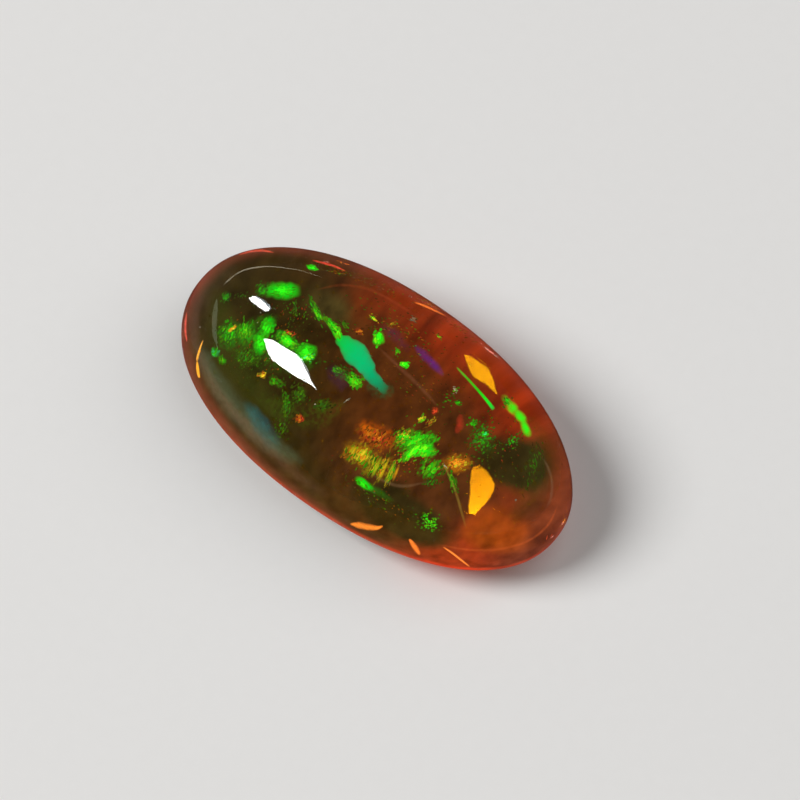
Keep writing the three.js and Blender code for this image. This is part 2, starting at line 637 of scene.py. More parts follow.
deselect_all()
bpy.ops.mesh.primitive_ico_sphere_add(subdivisions=1, radius=0.5, location=(0, 0, 0))
grain = bpy.context.object
grain.name = "one_grain"
bpy.ops.object.mode_set(mode="EDIT")
bpy.ops.mesh.select_all(action="SELECT")
bpy.ops.transform.vertex_random(offset=GRAIN_ROUGHNESS, seed=GRAIN_SEED)
bpy.ops.transform.resize(value=(1, 1, GRAIN_THICKNESS), center_override=(0, 0, 0))
bpy.ops.object.mode_set(mode="OBJECT")
grain_mesh = grain.data
bpy.data.objects.remove(grain)
PIXEL = 1 / PIXELS_PER_METRE
print("a grain has", len(grain_mesh.polygons), "faces, a pixel is", round(PIXEL / MM, 4), "mm")

# %% A field of grains
FIELD_SPREAD = 0.5  # how far grains stray from the patch's middle, as a share of its half width
DEPTH_PLAY = 0.12  # mm
LEAN_PLAY = 14  # degrees
TILT_PLAY = 0.25
LENGTHS = (0.6, 1.5)
WIDTHS = (0.5, 1.2)
SHINES = (0.15, 0.3, 0.5, 0.7, 1.0)
DULL_CONTRAST = 1.2  # of the grains of a dull patch
EVENER_WHEN_BRIGHT = 0.8
MIDDLE_SHINE = 1.25
DIMMER_OUTWARDS = 0.9
BODY_TINT = Vector((0.018, 0.009, 0.002))  # light of the stone in front of a grain


def settle(piece, material):
    """Gives each glowing piece, fire and painted light alike, its finish, no mirror image, and its place in the
    part.
    """
    piece.data.materials.append(material)
    piece.visible_glossy = False
    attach(piece, "root")


def strewn_grain(chance, view, where, size, stretch, lean, depth):
    """The middle of one grain, its three directions, length and width, or nothing off the stone. A patch is
    given by where: x, y, half width and half height in pixels, and a turn in degrees."""
    x, y, half_width, half_height, turn = where
    _, _, rightward, upward = view
    turned = math.radians(turn)
    u, v = chance.gauss(0, FIELD_SPREAD), chance.gauss(0, FIELD_SPREAD)
    du, dv = u * half_width, v * half_height
    pixel = (
        x + du * math.cos(turned) + dv * math.sin(turned),
        y - du * math.sin(turned) + dv * math.cos(turned),
    )
    spot, inward = into_stone(pixel, (depth + chance.uniform(-DEPTH_PLAY, DEPTH_PLAY)) * MM, view)
    if spot is None:
        return None
    angle = math.radians(lean + chance.gauss(0, LEAN_PLAY))
    along = rightward * math.cos(angle) + upward * math.sin(angle)
    tilt = Vector((chance.gauss(0, TILT_PLAY), chance.gauss(0, TILT_PLAY), chance.gauss(0, TILT_PLAY)))
    face = (tilt - inward).normalized()
    along = (along - face * along.dot(face)).normalized()
    length = size * PIXEL * chance.uniform(*LENGTHS) * stretch**0.5
    width = size * PIXEL * chance.uniform(*WIDTHS) / stretch**0.5
    return spot, along, face.cross(along), face, length, width, min(1, math.hypot(u, v))


def grain_field(name, patches, view=MAIN_VIEW, seed=1):
    """One joined mesh of grains. A patch is (x, y, half width, half height, turn), count, size in pixels,
    stretch, lean in degrees, brightness, depth in mm, colours."""
    chance = random.Random(seed)
    field = bmesh.new()
    layer = field.verts.layers.float_color.new("fire")
    for where, count, size, stretch, lean, brightness, depth, colours in patches:
        contrast = DULL_CONTRAST - EVENER_WHEN_BRIGHT * min(brightness, 1)
        for _ in range(count):
            strewn = strewn_grain(chance, view, where, size, stretch, lean, depth)
            if strewn is None:
                continue
            spot, along, across, face, length, width, outwards = strewn
            shine = brightness * chance.choice(SHINES) ** contrast
            shine *= MIDDLE_SHINE - DIMMER_OUTWARDS * outwards
            colour = Vector(chance.choice(colours)) * shine + BODY_TINT
            before = len(field.verts)
            field.from_mesh(grain_mesh)
            field.verts.ensure_lookup_table()
            for vertex in field.verts[before:]:
                p = vertex.co.copy()
                vertex.co = spot + along * p.x * length + across * p.y * width + face * p.z * width
                vertex[layer] = (*colour, 1)
    mesh = bpy.data.meshes.new(name)
    field.to_mesh(mesh)
    field.free()
    piece = bpy.data.objects.new(name, mesh)
    bpy.context.scene.collection.objects.link(piece)
    settle(piece, grain_material)
    print(name, len(mesh.polygons), "faces")


# %% [markdown]
# ## Veils
#
# Where the order of the spheres is poor, or lies deeper, the fire is seen as a soft glow. A veil starts as a
# flat grid. Its rows are laid across a path of pixels, each row as wide as the patch is there, and every
# point is put into the stone at the veil's depth, so the sheet curves with the dome above it. A thin wall
# closes it. Its rim fades out and is pushed about a little by seeded noise, since no patch in an opal has a
# ruled border. A core is a short round veil: it lies just under a field's grains and joins them to one
# glowing middle.

# %% Points of a veil
FRAY_SCALE = 0.13  # of the noise, per pixel
FRAY_SHARE = 0.5  # of what a half width has above the next value
FRAY_SMOOTH_TO = 2.2
FRAY_MOST = 2.4  # pixels
FRAY_SEED = 3
DRAWING_IN = 0.005  # of the way to the picture's aim, in each step
DRAWING_STEPS = 40
noise.seed_set(FRAY_SEED)


def frayed(pixel, half):
    """Moves a pixel a little by smooth noise, the more the wider the veil is there."""
    push = noise.noise_vector(Vector((pixel[0] * FRAY_SCALE, pixel[1] * FRAY_SCALE, 0)))
    reach = min(FRAY_SHARE * max(half - FRAY_SMOOTH_TO, 0), FRAY_MOST)
    return pixel[0] + push.x * reach, pixel[1] + push.y * reach


def under_polish(pixel, depth, view):
    """As into_stone, and a pixel just outside the stone's picture is first drawn in to it."""
    for step in range(DRAWING_STEPS):
        share = 1 - DRAWING_IN * step
        drawn_in = tuple(AIM_PIXEL[k] + (pixel[k] - AIM_PIXEL[k]) * share for k in range(2))
        spot, _ = into_stone(drawn_in, depth * MM, view)
        if spot is not None:
            return spot
    raise ValueError("a veil lies off the stone")


def smooth_between(a, b, c, d, t):
    """The usual smooth curve through four values, between the middle two."""
    return 0.5 * (2 * b + (c - a) * t + (2 * a - 5 * b + 4 * c - d) * t * t + (3 * b - a - 3 * c + d) * t**3)


def blend_along(colour, travel):
    """One colour for the whole path, or the blend of a list with one colour for each of its points."""
    if not isinstance(colour, list):
        return colour
    i = min(int(travel), len(colour) - 2)
    return Vector(colour[i]).lerp(Vector(colour[i + 1]), travel - i)


print("a veil's border is pushed about by up to", round(FRAY_MOST * PIXEL / MM, 3), "mm")

# %% One veil
ROWS_PER_STEP = 6
VEIL_COLUMNS = 12
VEIL_WALL = 0.012 * MM
THINNEST = 0.2  # half width in pixels
END_FADE = 0.7  # steps of the path over which an end fades in
STANDSTILL = 0.01  # pixels, below which a path has no direction


def row_of(path, travel):
    """Place, half width and share of the strength at a travel along a path, and the path's direction."""
    i = min(int(travel), len(path) - 2)
    t = travel - i
    first, last = path[max(i - 1, 0)], path[min(i + 2, len(path) - 1)]
    x, y, half, share = (smooth_between(first[k], path[i][k], path[i + 1][k], last[k], t) for k in range(4))
    run = Vector((
        path[i + 1][0] - first[0] * (1 - t) - path[i][0] * t,
        path[i + 1][1] - first[1] * (1 - t) - path[i][1] * t,
    ))
    run = run.normalized() if run.length > STANDSTILL else Vector((1, 0))
    return x, y, max(half, THINNEST), max(share, 0), run


def laid_veil(name, path, colour, depth, strength, broken, softness, view):
    """A thin glowing sheet along a path of (x, y, half width and, where it differs from 1, share of the
    strength) in pixels."""
    path = [(*step, 1)[:4] for step in path]
    end = len(path) - 1
    deselect_all()
    bpy.ops.mesh.primitive_grid_add(x_subdivisions=VEIL_COLUMNS, y_subdivisions=end * ROWS_PER_STEP, size=2)
    piece = bpy.context.object
    piece.name = name
    mesh = piece.data
    for attribute, kind in (("veil", "FLOAT"), ("broken", "FLOAT"), ("fire", "FLOAT_COLOR")):
        mesh.attributes.new(attribute, kind, "POINT")
    shown, rough, fire = (mesh.attributes[key].data for key in ("veil", "broken", "fire"))
    for vertex in mesh.vertices:
        side, travel = vertex.co.x, (vertex.co.y + 1) / 2 * end
        x, y, half, share, run = row_of(path, travel)
        pixel = frayed((x - run.y * side * half, y + run.x * side * half), half)
        vertex.co = under_polish(pixel, depth, view)
        ends = max(0, min(1, travel / END_FADE, (end - travel) / END_FADE))
        across = (1 - side**2) ** softness
        shown[vertex.index].value = strength * share * across * math.sin(math.pi / 2 * ends)
        rough[vertex.index].value = broken
        fire[vertex.index].color = (*blend_along(colour, travel), 1)
    wall = piece.modifiers.new("wall", "SOLIDIFY")
    wall.thickness = VEIL_WALL
    make_active(piece)
    bpy.ops.object.modifier_apply(modifier=wall.name)
    return piece


def soft_patch(name, path, colour, depth, strength, broken, softness=1.5, view=MAIN_VIEW):
    """A veil that is a piece by itself."""
    piece = laid_veil(name, path, colour, depth, strength, broken, softness, view)
    settle(piece, veil_material)
    print(name, len(piece.data.polygons), "faces")


# %% Cores
CORE_SPREAD = 1.18
CORE_SOFTNESS = 1.8
CORE_ROUNDNESS = 0.5
CORE_STEPS = (-1, -0.6, -0.2, 0.2, 0.6, 1)


def core_field(name, cores, view=MAIN_VIEW):
    """Rounded veils joined into one mesh. A core is (x, y, half length, half width, turn), colour, depth
    in mm, strength, broken share."""
    pieces = []
    for (x, y, half_length, half_width, turn), colour, depth, strength, broken in cores:
        dx, dy = math.cos(math.radians(turn)), -math.sin(math.radians(turn))
        half_length, half_width = CORE_SPREAD * half_length, CORE_SPREAD * half_width
        path = [
            (
                x + dx * half_length * k,
                y + dy * half_length * k,
                half_width * (1 - CORE_ROUNDNESS * k * k),
                (1 - k * k) ** CORE_SOFTNESS,
            )
            for k in CORE_STEPS
        ]
        pieces.append(laid_veil(name, path, colour, depth, strength, broken, CORE_SOFTNESS, view))
    deselect_all()
    for piece in pieces:
        piece.select_set(True)
    bpy.context.view_layer.objects.active = pieces[0]
    bpy.ops.object.join()
    settle(pieces[0], veil_material)
    print(name, len(pieces[0].data.polygons), "faces")


# %% [markdown]
# ## The left green field
#
# The brightest fire of this stone is left of the middle: pure green clumps round the large highlight, and a
# dimmer, upright grain to the left of them. Each clump gets large, even grains over a soft core, and the space
# between gets few and faint ones, so that the field hangs together without an outline.

# %% Colours of the grains
GREEN = (0.005, 0.8, 0.006)
LIME = (0.13, 0.8, 0.008)
DEEP_GREEN = (0.01, 0.42, 0.03)
SEA_GREEN = (0.01, 0.8, 0.22)
YELLOW = (0.85, 0.75, 0.03)
ORANGE = (1.0, 0.33, 0.02)
RED = (0.9, 0.08, 0.03)
PALE = (0.75, 0.72, 0.6)
PINK = (1.0, 0.35, 0.28)
print("the purest green has", round(GREEN[1] / GREEN[0]), "times as much green as red")

# %% Grains of the left green field
# x, y, half width, half height, turn; count, size, stretch, lean, brightness, depth, colours
LEFT_FIELD = [
    ((230, 333, 10, 11, 0), 130, 2.6, 1.6, 75, 0.55, 0.9, (GREEN, GREEN, DEEP_GREEN, LIME)),
    ((245, 331, 7, 9, 0), 90, 2.8, 2.0, 70, 0.6, 0.85, (LIME, GREEN)),
    ((267, 328, 6, 8, 20), 90, 3.2, 1.5, 70, 0.9, 0.75, (GREEN,)),
    ((261, 343, 6, 9, 10), 90, 3.2, 1.3, 60, 0.9, 0.75, (GREEN,)),
    ((287, 341, 9, 5, -35), 120, 2.8, 1.6, -35, 1.1, 0.75, (GREEN, GREEN, LIME)),
    ((306, 352, 8, 8, 0), 110, 3.0, 1.3, 20, 1.0, 0.75, (GREEN,)),
    ((308, 357, 5, 3, 0), 26, 2.4, 1.3, 20, 1.7, 0.7, (SEA_GREEN, LIME)),
    ((215, 352.5, 4, 4, -20), 50, 2.8, 1.4, 60, 0.6, 0.7, (SEA_GREEN, GREEN, GREEN)),
    ((222, 360, 3, 4, 20), 36, 2.6, 1.5, 70, 0.45, 0.7, (GREEN, LIME)),
    ((226, 296.5, 5, 5, 0), 60, 1.9, 1.2, 60, 0.45, 0.6, (GREEN, DEEP_GREEN)),
    ((242, 296, 7, 3, 0), 26, 1.8, 1.2, 60, 0.25, 0.6, (DEEP_GREEN, GREEN)),
    ((246, 356, 17, 11, -10), 170, 2.4, 1.4, 50, 0.3, 1.1, (DEEP_GREEN, LIME, GREEN)),
    ((232, 329, 4.5, 1.4, 40), 26, 2.6, 2.5, 45, 0.9, 0.8, (ORANGE, YELLOW)),
    ((263, 375, 3.4, 3, 0), 24, 2.8, 1.2, 40, 0.8, 0.9, (YELLOW, ORANGE)),
    ((276, 382, 7, 5, -20), 60, 2.6, 1.3, -40, 0.35, 1.0, (GREEN, LIME)),
    ((286, 406, 5, 12, 0), 110, 2.6, 1.5, 75, 0.35, 1.3, (LIME, GREEN, DEEP_GREEN)),
    ((299, 395, 8, 9, 0), 80, 2.8, 1.3, 60, 0.22, 1.3, (LIME, DEEP_GREEN)),
    ((323, 406, 9, 5, 0), 60, 2.8, 1.3, 20, 0.2, 1.3, (LIME, DEEP_GREEN)),
    ((280, 426, 9, 12, 0), 70, 2.4, 1.3, 60, 0.2, 1.2, (DEEP_GREEN, LIME)),
    ((294.5, 307, 2.5, 9, 0), 34, 2.2, 2.6, 85, 0.3, 0.9, (LIME, DEEP_GREEN)),
    ((289, 333, 8, 2.5, -10), 24, 2.2, 1.3, 60, 0.7, 0.9, (RED, ORANGE)),
    ((275, 350, 52, 40, -30), 300, 1.6, 1.3, 60, 0.2, 1.1, (DEEP_GREEN, GREEN, LIME, RED, ORANGE)),
    ((296, 312, 24, 16, -30), 90, 1.7, 1.6, 70, 0.2, 1.0, (LIME, DEEP_GREEN, RED)),
]
grain_field("left_green_grains", LEFT_FIELD, seed=11)

# %% Cores of the left green field
DULL = (0.03, 0.16, 0.006)
BRIGHT = (0.003, 0.68, 0.010)
# x, y, half length, half width, turn; colour, depth, strength, broken
LEFT_CORES = [
    ((268, 326, 10, 7, 60), BRIGHT, 0.85, 0.75, 0.5),
    ((261, 342, 12, 7, 78), BRIGHT, 0.87, 0.85, 0.3),
    ((247, 333, 13, 11, 40), (0.02, 0.36, 0.008), 0.95, 0.6, 0.75),
    ((230, 335, 15, 13, 60), (0.008, 0.26, 0.012), 1.0, 0.5, 0.85),
    ((287, 341, 13, 7, -38), (0.02, 0.6, 0.01), 0.88, 0.7, 0.8),
    ((306, 352, 10, 9, -30), BRIGHT, 0.87, 0.85, 0.4),
    ((250, 356, 18, 12, 0), (0.03, 0.13, 0.006), 1.1, 0.4, 0.85),
    ((262, 320, 16, 6, 10), (0.03, 0.16, 0.006), 1.05, 0.35, 0.9),
    ((309, 357, 5, 3.5, 0), (0.05, 0.9, 0.10), 0.84, 0.5, 0.4),
    ((215, 352.5, 5, 4.5, -60), (0.004, 0.4, 0.06), 0.75, 0.6, 0.4),
    ((222, 360, 5, 3.5, -50), (0.01, 0.4, 0.01), 0.75, 0.5, 0.5),
    ((226, 296.5, 5, 5, 0), (0.003, 0.12, 0.02), 0.65, 0.4, 0.7),
    ((299, 395, 9, 7, 60), DULL, 1.35, 0.45, 0.6),
    ((323, 405.5, 9, 6, 0), DULL, 1.35, 0.4, 0.6),
    ((286, 406, 12, 5, 85), DULL, 1.35, 0.4, 0.8),
    ((276, 382, 8, 5, -40), DULL, 1.1, 0.4, 0.7),
    ((263, 375, 3, 3, 0), (0.5, 0.28, 0.01), 0.95, 0.5, 0.4),
]
core_field("left_green_cores", LEFT_CORES)

# %% [markdown]
# ## The middle field
#
# Here three colours meet, because the blocks of spheres are turned to different angles: orange above, gold to
# the left and green in the middle. Their grain runs up to the right. The lower border breaks into parallel
# strands, which are long narrow cores.

# %% Grains of the middle field
MIDDLE_FIELD = [
    ((415, 441, 17, 8, 12), 170, 3.3, 2.0, 38, 0.75, 1.0, (GREEN, GREEN, LIME)),
    ((413, 452, 11, 3, 42), 110, 3.2, 3.0, 42, 1.5, 0.9, (GREEN, LIME)),
    ((424, 450, 9, 8, 0), 110, 3.0, 1.8, 40, 1.1, 0.95, (GREEN, LIME)),
    ((431, 470, 11, 8, 10), 100, 3.1, 1.7, 55, 0.55, 1.0, (GREEN, LIME, GREEN)),
    ((404, 436, 10, 6, 20), 90, 2.6, 1.6, 40, 0.7, 1.0, (LIME, YELLOW, GREEN)),
    ((376, 437, 17, 9, -25), 150, 3.2, 1.6, 45, 0.42, 1.1, (ORANGE, RED, ORANGE)),
    ((361, 455, 15, 10, -15), 170, 3.3, 2.2, 50, 0.55, 1.1, (YELLOW, LIME, ORANGE, YELLOW)),
    ((372, 464, 8, 12, 20), 70, 3.0, 3.4, 65, 0.45, 1.1, (LIME, YELLOW, GREEN)),
    ((382, 468, 3, 14, -22), 80, 2.6, 3.4, 66, 0.55, 1.1, (YELLOW, ORANGE, LIME)),
    ((391, 473, 3, 12, -22), 70, 2.6, 3.4, 66, 0.55, 1.1, (LIME, YELLOW)),
    ((457, 463, 11, 7, 0), 140, 2.7, 1.4, 30, 0.65, 0.98, (ORANGE, YELLOW, ORANGE)),
    ((422, 419, 4, 3, 20), 30, 2.8, 1.6, 30, 0.7, 0.9, (YELLOW, LIME)),
    ((432, 421, 12, 4, 40), 40, 2.0, 2.2, 40, 0.3, 0.9, (RED, ORANGE, YELLOW)),
    ((430, 482, 12, 5, 0), 40, 2.2, 1.5, 50, 0.3, 1.1, (GREEN, DEEP_GREEN)),
    ((453, 482, 3, 10, 20), 70, 2.6, 2.2, -65, 0.45, 1.0, (GREEN, LIME)),
    ((400, 455, 46, 24, 10), 240, 1.7, 1.3, 45, 0.3, 1.2, (RED, ORANGE, LIME)),
]
grain_field("middle_field_grains", MIDDLE_FIELD, seed=12)

# %% Cores of the middle field
MIDDLE_CORES = [
    ((414, 441, 20, 12, 15), (0.02, 0.42, 0.006), 1.1, 0.45, 1.0),
    ((411, 452, 13, 5, 42), BRIGHT, 1.0, 0.85, 0.35),
    ((426, 448, 11, 7, -30), BRIGHT, 1.05, 0.7, 0.7),
    ((431, 470, 14, 10, 10), (0.02, 0.24, 0.006), 1.15, 0.4, 1.0),
    ((377, 436, 22, 13, -28), (0.5, 0.10, 0.003), 1.3, 0.6, 0.7),
    ((361, 455, 19, 13, -20), (0.42, 0.24, 0.003), 1.3, 0.65, 0.75),
    ((371, 466, 12, 10, 70), (0.22, 0.26, 0.003), 1.3, 0.5, 0.9),
    ((388, 469, 14, 6, 66), (0.26, 0.20, 0.003), 1.3, 0.45, 1.0),
    ((457, 463, 15, 10, 0), (0.5, 0.18, 0.003), 1.12, 0.6, 0.75),
    ((453, 482, 10, 3, -65), (0.04, 0.2, 0.004), 1.1, 0.4, 0.7),
    ((403, 437, 9, 6, 20), (0.16, 0.3, 0.004), 1.15, 0.4, 0.8),
    ((410.5, 453.5, 10, 2.8, 47), BRIGHT, 0.97, 0.85, 0.2),
    ((425, 450, 11, 3, -20), BRIGHT, 0.97, 0.8, 0.3),
    ((430, 438, 9, 3.4, -15), (0.01, 0.6, 0.01), 0.97, 0.7, 0.5),
    ((411, 440, 10, 4.5, 8), (0.03, 0.6, 0.01), 0.98, 0.65, 0.6),
    ((433, 467, 9, 3.4, 45), (0.02, 0.5, 0.01), 1.0, 0.6, 0.5),
    ((376.5, 467, 11, 1.8, 64), (0.34, 0.42, 0.01), 1.02, 0.7, 0.4),
    ((383.5, 470, 13, 1.8, 65), (0.5, 0.4, 0.01), 1.02, 0.7, 0.4),
    ((390, 472, 11, 1.6, 66), (0.3, 0.42, 0.01), 1.02, 0.7, 0.4),
    ((396, 473, 9, 1.5, 68), (0.6, 0.3, 0.01), 1.02, 0.55, 0.5),
    ((357, 452, 11, 5, -25), (0.6, 0.3, 0.005), 1.05, 0.6, 0.5),
    ((370, 461, 10, 4.5, -30), (0.36, 0.34, 0.006), 1.05, 0.6, 0.6),
    ((371, 431, 12, 5, -30), (0.62, 0.14, 0.005), 1.1, 0.55, 0.5),
]
core_field("middle_field_cores", MIDDLE_CORES)

# %% [markdown]
# ## Small fields and sparks
#
# Between the fields are single patches of a few grains, three green beads near the far edge, and a very thin
# dust of grains that is hardly seen but keeps the stone from looking empty. The wide, faint rows at the end of
# the list are that dust.

# %% Grains of the small fields
SMALL_FIELDS = [
    ((483, 438, 12, 18, -25), 170, 2.2, 1.2, 40, 0.42, 0.9, (DEEP_GREEN, GREEN)),
    ((473, 423, 4, 3, 0), 24, 2.4, 1.2, 40, 0.6, 0.9, (GREEN,)),
    ((485, 433.5, 2.2, 2.2, 0), 14, 3.0, 1.1, 0, 1.3, 0.9, (GREEN, SEA_GREEN)),
    ((513, 441, 6, 8, -30), 46, 2.1, 1.2, 40, 0.45, 0.8, (GREEN, DEEP_GREEN)),
    ((535, 462, 9, 30, -18), 90, 2.2, 3.0, -75, 0.13, 0.8, (GREEN, DEEP_GREEN, LIME)),
    ((429, 522, 13, 9, -25), 90, 1.8, 1.1, 0, 0.8, 0.8, (GREEN, GREEN, LIME)),
    ((378.5, 338.5, 5, 6.5, 0), 60, 3.0, 1.2, 80, 1.3, 0.9, (GREEN, GREEN, LIME)),
    ((397.5, 352, 2.5, 4.5, 0), 22, 2.2, 1.3, 80, 0.6, 0.9, (GREEN, LIME)),
    ((404.5, 364.5, 4, 2.6, -15), 36, 3.0, 1.3, -20, 1.3, 0.9, (GREEN, LIME)),
    ((354.5, 381, 8, 6, -30), 110, 2.8, 1.3, -40, 0.8, 1.1, (GREEN, LIME)),
    ((337.5, 370, 5, 4, 0), 50, 2.6, 1.3, -30, 0.4, 1.1, (GREEN, LIME)),
    ((347, 372, 18, 6, -32), 50, 2.2, 1.3, -30, 0.22, 1.1, (GREEN, DEEP_GREEN)),
    ((312, 267.5, 4.5, 2.2, -15), 30, 2.8, 1.4, -15, 1.2, 0.6, (GREEN,)),
    ((455, 390, 3, 5, -20), 18, 1.9, 1.2, 0, 0.5, 0.9, (GREEN, LIME, PALE)),
    ((459, 403, 5, 2.5, -20), 22, 2.1, 1.2, 0, 0.5, 0.9, (GREEN,)),
    ((449, 400, 6, 8, 0), 20, 1.8, 1.2, 0, 0.3, 0.9, (GREEN,)),
    ((363, 484, 5, 2.6, -32), 40, 2.8, 1.8, -32, 1.1, 0.9, (GREEN,)),
    ((373.5, 318.5, 5, 1.5, -40), 34, 2.2, 2.4, -40, 0.8, 0.9, (YELLOW, LIME)),
    ((392, 324, 4.5, 1.2, 25), 20, 2.0, 2.2, 25, 0.5, 0.9, (ORANGE, YELLOW)),
    ((439, 337, 4.5, 1.2, -42), 20, 1.9, 2.4, -42, 0.5, 0.9, (YELLOW, LIME)),
    ((359, 331, 4, 3, -20), 26, 2.6, 1.2, 0, 0.4, 1.0, (RED, ORANGE)),
    ((345, 325, 7, 3, -45), 26, 2.2, 2.0, -45, 0.3, 1.0, (LIME, GREEN)),
    ((413, 318, 6, 4, -35), 20, 2.2, 2.6, -35, 0.18, 0.9, (PALE, ORANGE)),
    ((435, 411, 3, 3, 0), 20, 2.8, 1.2, 60, 0.55, 1.0, (RED,)),
    ((299.5, 418.5, 4.5, 3.5, 0), 30, 2.6, 1.2, 60, 0.5, 1.0, (ORANGE, RED)),
    ((314.5, 309, 3, 12, 24), 90, 2.8, 2.8, -62, 0.42, 0.9, (LIME, GREEN, DEEP_GREEN)),
    ((318, 314, 2.5, 6, 24), 40, 3.0, 2.6, -62, 0.9, 0.88, (LIME, GREEN)),
    ((332, 325, 3, 9, 38), 90, 3.0, 2.4, -52, 0.8, 0.9, (LIME, GREEN, GREEN)),
    ((337, 332, 3.5, 6, 25), 80, 3.0, 2.0, -60, 1.2, 0.88, (LIME, GREEN)),
    ((262, 289.5, 5, 6, 0), 80, 2.6, 1.5, 60, 0.45, 0.7, (GREEN, DEEP_GREEN)),
    ((282, 290.5, 12, 5.5, 0), 80, 3.0, 1.8, 10, 1.1, 0.7, (GREEN,)),
    ((507, 401, 4, 4, -35), 40, 2.4, 1.4, -50, 0.5, 0.75, (LIME, GREEN)),
    ((400, 330, 60, 22, -30), 190, 1.6, 2.0, -32, 0.2, 1.0, (RED, ORANGE, LIME, DEEP_GREEN)),
    ((500, 450, 40, 40, -40), 130, 1.5, 1.5, -50, 0.16, 0.9, (DEEP_GREEN, LIME, RED)),
    ((380, 500, 50, 16, -30), 110, 1.5, 1.4, -35, 0.2, 0.9, (DEEP_GREEN, LIME, ORANGE)),
    ((420, 385, 50, 26, -35), 130, 1.5, 1.8, -35, 0.16, 1.0, (RED, ORANGE, RED, LIME)),
]
grain_field("small_field_grains", SMALL_FIELDS, seed=13)

# %% Cores of the small fields
SMALL_CORES = [
    ((282, 290.5, 17, 8.5, 2), BRIGHT, 0.8, 0.9, 0.12),
    ((262, 289, 7, 5, 50), (0.005, 0.3, 0.01), 0.8, 0.5, 0.85),
    ((312, 267.5, 5, 2.8, -15), BRIGHT, 0.65, 0.7, 0.2),
    ((378.5, 338.5, 7, 5.5, 80), BRIGHT, 0.95, 0.75, 0.3),
    ((404.5, 364.5, 4.5, 3, -20), BRIGHT, 0.95, 0.75, 0.2),
    ((354.5, 381, 9, 6, -40), (0.03, 0.45, 0.008), 1.15, 0.6, 0.6),
    ((337.5, 370, 5, 4.5, 0), (0.03, 0.22, 0.006), 1.15, 0.5, 0.6),
    ((344, 375, 12, 6, -32), DULL, 1.2, 0.3, 0.7),
    ((485, 433.5, 3, 3, 0), (0.004, 0.6, 0.03), 0.95, 0.7, 0.2),
    ((364, 484, 10, 4.4, -35), BRIGHT, 0.95, 0.92, 0.15),
    ((506.5, 400, 6.5, 3.8, -50), (0.08, 0.4, 0.008), 0.78, 0.5, 0.8),
    ((510, 411, 8, 2.5, -48), (0.4, 0.16, 0.008), 0.8, 0.4, 0.6),
    ((512.5, 407.5, 8, 4.8, -48), (0.03, 0.7, 0.008), 0.75, 0.85, 0.3),
    ((520.6, 416.8, 7, 4.6, -52), (0.03, 0.75, 0.01), 0.75, 0.9, 0.2),
    ((525.6, 428, 9, 4.4, -64), (0.02, 0.75, 0.01), 0.75, 0.92, 0.15),
    ((473, 423, 5, 3.5, 0), (0.01, 0.25, 0.01), 0.95, 0.4, 0.7),
    ((483, 438, 19, 11, -60), (0.006, 0.10, 0.010), 1.0, 0.3, 0.8),
    ((535, 462, 26, 6, -72), (0.03, 0.035, 0.008), 0.9, 0.2, 0.9),
    ((435, 411, 4, 3, 60), (0.6, 0.03, 0.02), 1.0, 0.45, 0.4),
    ((359, 331, 4.5, 3.5, -30), (0.4, 0.05, 0.02), 1.05, 0.4, 0.5),
    ((299.5, 418.5, 5, 3.5, 0), (0.5, 0.12, 0.005), 1.05, 0.4, 0.6),
]
core_field("small_field_cores", SMALL_CORES)

# %% [markdown]
# ## Painted glints along the girdle, and dust
#
# The girdle is polished last and least, and tiny chips stay in it. The sparks of the lamps in them are painted
# glints: grains that glow by themselves. A few pale specks and hairs on the dome are dust and wear. All are
# grains again, but just under the polish.

# %% Painted glints and dust specks
# The first ten rows are painted glints of the lamps, the last five are dust specks and hairs.
PAINTED_GLINTS_AND_DUST = [
    ((489.5, 351, 12, 1.0, -38), 36, 1.9, 1.5, -38, 1.0, 0.1, (PINK, PALE, RED)),
    ((429, 304.5, 10, 1.0, -27), 22, 1.8, 2.6, -27, 0.7, 0.2, (ORANGE, RED)),
    ((344, 263, 8, 1.2, -20), 18, 2.0, 2.4, -20, 0.7, 0.2, (RED, ORANGE)),
    ((328, 262, 5, 1.0, -5), 10, 1.8, 2.2, -5, 0.5, 0.2, (RED, PINK)),
    ((257, 249.5, 12, 1.0, 5), 18, 1.8, 2.6, 5, 0.6, 0.2, (RED, ORANGE)),
    ((199, 352, 1.2, 9, -14), 26, 1.8, 2.8, 72, 0.9, 0.2, (ORANGE, YELLOW)),
    ((184.5, 322, 0.8, 5, 0), 10, 1.6, 2.4, 85, 0.5, 0.15, (PINK, RED)),
    ((563.5, 522, 1.6, 5, -35), 14, 1.8, 2.2, 55, 0.9, 0.15, (PINK, ORANGE)),
    ((553, 537, 3, 3, 0), 14, 1.8, 1.8, 55, 0.6, 0.15, (PINK, RED)),
    ((547, 538, 1.0, 4, 0), 8, 1.6, 2.2, 85, 0.5, 0.15, (RED,)),
    ((346, 401, 4.5, 0.8, 35), 12, 1.7, 2.4, 35, 0.35, 0.5, (PALE,)),
    ((200, 327, 0.7, 0.7, 0), 3, 1.8, 1.0, 0, 0.35, 0.1, (PALE,)),
    ((315, 404, 0.8, 0.8, 0), 3, 1.6, 1.0, 0, 0.35, 0.3, (PALE,)),
    ((445, 466, 3.5, 0.7, -50), 10, 1.6, 2.6, -50, 0.6, 0.6, (PALE, YELLOW)),
    ((516, 500, 0.8, 0.8, 0), 3, 1.8, 1.0, 0, 0.3, 0.3, (PALE,)),
]
grain_field("painted_glints_and_dust", PAINTED_GLINTS_AND_DUST, seed=14)

# %% [markdown]
# ## The far side
#
# The main view doesn't show the stone from behind. Its fire there is made up: a faint orange dust in the same
# style, placed by a line of sight from that side.

